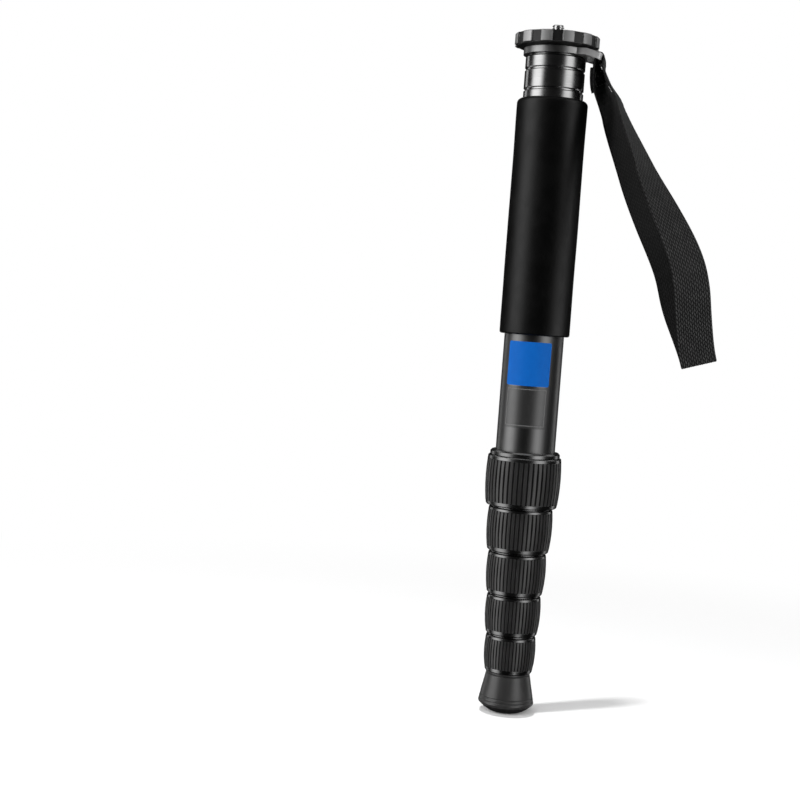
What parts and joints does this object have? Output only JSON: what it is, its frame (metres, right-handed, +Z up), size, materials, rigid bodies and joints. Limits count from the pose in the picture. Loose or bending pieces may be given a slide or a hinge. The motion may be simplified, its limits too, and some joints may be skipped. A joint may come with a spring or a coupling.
{
  "type": "camera monopod",
  "caption": "Folded camera monopod: nested tubes with ribbed twist locks, flared foot, foam grip, lobed camera platform with stud, and a webbing wrist strap.",
  "frame": {"origin": "middle of the flat under the foot's sole, on the leg's axis, with the leg folded", "axes": "+Z up along the leg to the camera stud, +X to the viewer's right in the picture, the strap's side, +Y away from the picture's viewer"},
  "size_m": [0.12, 0.0589, 0.3707],
  "materials": {
    "steel": "polished",
    "pad_rubber": "matte",
    "platform_black": "satin anodised",
    "lug_grey": "satin",
    "webbing": "woven",
    "gloss_black": "glossy anodised",
    "foam": "matte foam",
    "bare_aluminium": "satin",
    "foot_grey": "satin",
    "sole_rubber": "matte",
    "tube_grey": "satin anodised",
    "bush_plastic": "plain",
    "lock_rubber": "ribbed",
    "collet_plastic": "plain"
  },
  "bodies": {
    "leg_1": {"camera_stud": "steel", "platform_pad": "pad_rubber", "platform": "platform_black", "neck_cap": "gloss_black", "neck_body": "gloss_black", "foam_grip": "foam", "tube_1": "tube_grey", "ferrule_1": "gloss_black", "collet_1": "collet_plastic"},
    "strap_ring": {"strap_ring": "lug_grey"},
    "wrist_strap": {"wrist_strap": "webbing"},
    "leg_2": {"tube_2": "tube_grey", "bush_2": "bush_plastic", "ferrule_2": "gloss_black", "collet_2": "collet_plastic"},
    "leg_3": {"tube_3": "tube_grey", "bush_3": "bush_plastic", "ferrule_3": "gloss_black", "collet_3": "collet_plastic"},
    "leg_4": {"tube_4": "tube_grey", "bush_4": "bush_plastic", "ferrule_4": "gloss_black", "collet_4": "collet_plastic"},
    "leg_5": {"tube_5": "tube_grey", "bush_5": "bush_plastic", "ferrule_5": "gloss_black", "collet_5": "collet_plastic"},
    "leg_6": {"tube_6": "tube_grey", "bush_6": "bush_plastic", "foot_plug": "bare_aluminium", "foot_screw": "steel", "foot_cone": "foot_grey", "foot_sole": "sole_rubber"},
    "lock_1": {"collar_1": "gloss_black", "rib_sleeve_1": "lock_rubber"},
    "lock_2": {"collar_2": "gloss_black", "rib_sleeve_2": "lock_rubber"},
    "lock_3": {"collar_3": "gloss_black", "rib_sleeve_3": "lock_rubber"},
    "lock_4": {"collar_4": "gloss_black", "rib_sleeve_4": "lock_rubber"},
    "lock_5": {"collar_5": "gloss_black", "rib_sleeve_5": "lock_rubber"}
  },
  "joints": [
    {"name": "extend_1", "type": "slide", "parent": "leg_2", "child": "leg_1", "axis": [0, 0, 1], "range_m": [0, 0.178]},
    {"name": "extend_2", "type": "slide", "parent": "leg_3", "child": "leg_2", "axis": [0, 0, 1], "range_m": [0, 0.203]},
    {"name": "extend_3", "type": "slide", "parent": "leg_4", "child": "leg_3", "axis": [0, 0, 1], "range_m": [0, 0.226]},
    {"name": "extend_4", "type": "slide", "parent": "leg_5", "child": "leg_4", "axis": [0, 0, 1], "range_m": [0, 0.248]},
    {"name": "extend_5", "type": "slide", "parent": "leg_6", "child": "leg_5", "axis": [0, 0, 1], "range_m": [0, 0.269]},
    {"name": "lock_turn_1", "type": "hinge", "parent": "leg_1", "child": "lock_1", "pos_m": [0, 0, 0], "axis": [0, 0, 1], "range_deg": [0, 120]},
    {"name": "lock_turn_2", "type": "hinge", "parent": "leg_2", "child": "lock_2", "pos_m": [0, 0, 0], "axis": [0, 0, 1], "range_deg": [0, 120]},
    {"name": "lock_turn_3", "type": "hinge", "parent": "leg_3", "child": "lock_3", "pos_m": [0, 0, 0], "axis": [0, 0, 1], "range_deg": [0, 120]},
    {"name": "lock_turn_4", "type": "hinge", "parent": "leg_4", "child": "lock_4", "pos_m": [0, 0, 0], "axis": [0, 0, 1], "range_deg": [0, 120]},
    {"name": "lock_turn_5", "type": "hinge", "parent": "leg_5", "child": "lock_5", "pos_m": [0, 0, 0], "axis": [0, 0, 1], "range_deg": [0, 120]},
    {"name": "ring_swivel", "type": "hinge", "parent": "leg_1", "child": "strap_ring", "pos_m": [0, 0, 0], "axis": [0, 0, 1], "continuous": true},
    {"name": "strap_swing", "type": "hinge", "parent": "strap_ring", "child": "wrist_strap", "pos_m": [0.02325, -0.00203, 0.35372], "axis": [-0.0872, -0.9962, 0], "range_deg": [-6, 60]}
  ]
}
